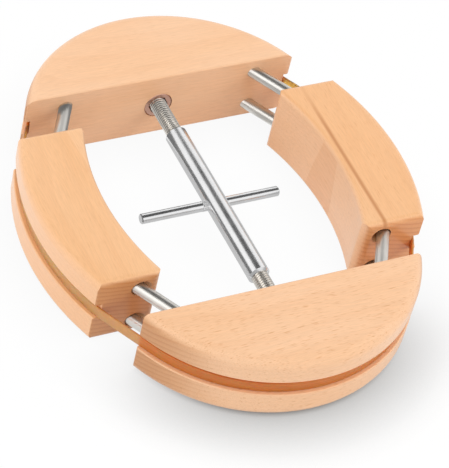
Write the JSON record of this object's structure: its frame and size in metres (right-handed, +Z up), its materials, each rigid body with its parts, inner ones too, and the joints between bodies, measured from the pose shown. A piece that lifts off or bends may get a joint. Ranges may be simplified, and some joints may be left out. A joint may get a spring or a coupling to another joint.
{
  "type": "hat stretcher",
  "caption": "Oval wooden hat stretcher: end blocks and cheeks spread on splayed guide pins by a two-way screw with a cross bar, drawn together by an elastic band.",
  "frame": {"origin": "on the table, under the middle of the screw", "axes": "+Y along the screw towards the rear block, +X towards the right cheek, +Z up, across the thickness of the wood"},
  "size_m": [0.182, 0.2268, 0.036],
  "materials": {
    "beech": "sanded beech, thinly oiled, satin",
    "polished_steel": "polished steel",
    "stud_steel": "rolled thread, bright",
    "pin_nickel": "nickel-bright ground rod",
    "insert_zinc": "zinc plated",
    "latex": "amber latex, slightly glossy"
  },
  "bodies": {
    "rear_block": {"rear_block": "beech", "rear_insert": "insert_zinc", "rear_left_pin_upper": "pin_nickel", "rear_left_pin_lower": "pin_nickel", "rear_right_pin_upper": "pin_nickel", "rear_right_pin_lower": "pin_nickel"},
    "right_cheek": {"right_cheek": "beech"},
    "front_block": {"front_block": "beech", "front_insert": "insert_zinc", "front_right_pin_upper": "pin_nickel", "front_right_pin_lower": "pin_nickel"},
    "left_cheek": {"left_cheek": "beech"},
    "front_left_pins": {"front_left_pin_upper": "pin_nickel", "front_left_pin_lower": "pin_nickel"},
    "centre": {"elastic_band": "latex"},
    "turnbuckle": {"sleeve": "polished_steel", "rear_stud": "stud_steel", "front_stud": "stud_steel", "tommy_bar": "polished_steel"}
  },
  "joints": [
    {"name": "turn", "type": "hinge", "parent": "centre", "child": "turnbuckle", "pos_m": [0, 0, 0.018], "axis": [0, 1, 0], "range_deg": [-5671, 2341]},
    {"name": "spread", "type": "slide", "parent": "rear_block", "child": "centre", "axis": [0, -1, 0], "range_m": [-0.01969, 0.00813], "deforming": ["elastic_band"]},
    {"name": "right_slide", "type": "slide", "parent": "rear_block", "child": "right_cheek", "axis": [0.5, -0.866, 0], "range_m": [-0.02274, 0.00939]},
    {"name": "front_slide", "type": "slide", "parent": "right_cheek", "child": "front_block", "axis": [-0.5, -0.866, 0], "range_m": [-0.02274, 0.00939]},
    {"name": "left_slide", "type": "slide", "parent": "rear_block", "child": "left_cheek", "axis": [-0.5, -0.866, 0], "range_m": [-0.02274, 0.00939]},
    {"name": "front_left_slide", "type": "slide", "parent": "left_cheek", "child": "front_left_pins", "axis": [0.5, -0.866, 0], "range_m": [-0.02274, 0.00939]}
  ],
  "couplings": [
    {"joint": "turn", "follows": "spread", "rad_per_m": 5026.5},
    {"joint": "right_slide", "follows": "spread", "ratio": 1.1547},
    {"joint": "front_slide", "follows": "spread", "ratio": 1.1547},
    {"joint": "left_slide", "follows": "spread", "ratio": 1.1547},
    {"joint": "front_left_slide", "follows": "spread", "ratio": 1.1547}
  ]
}
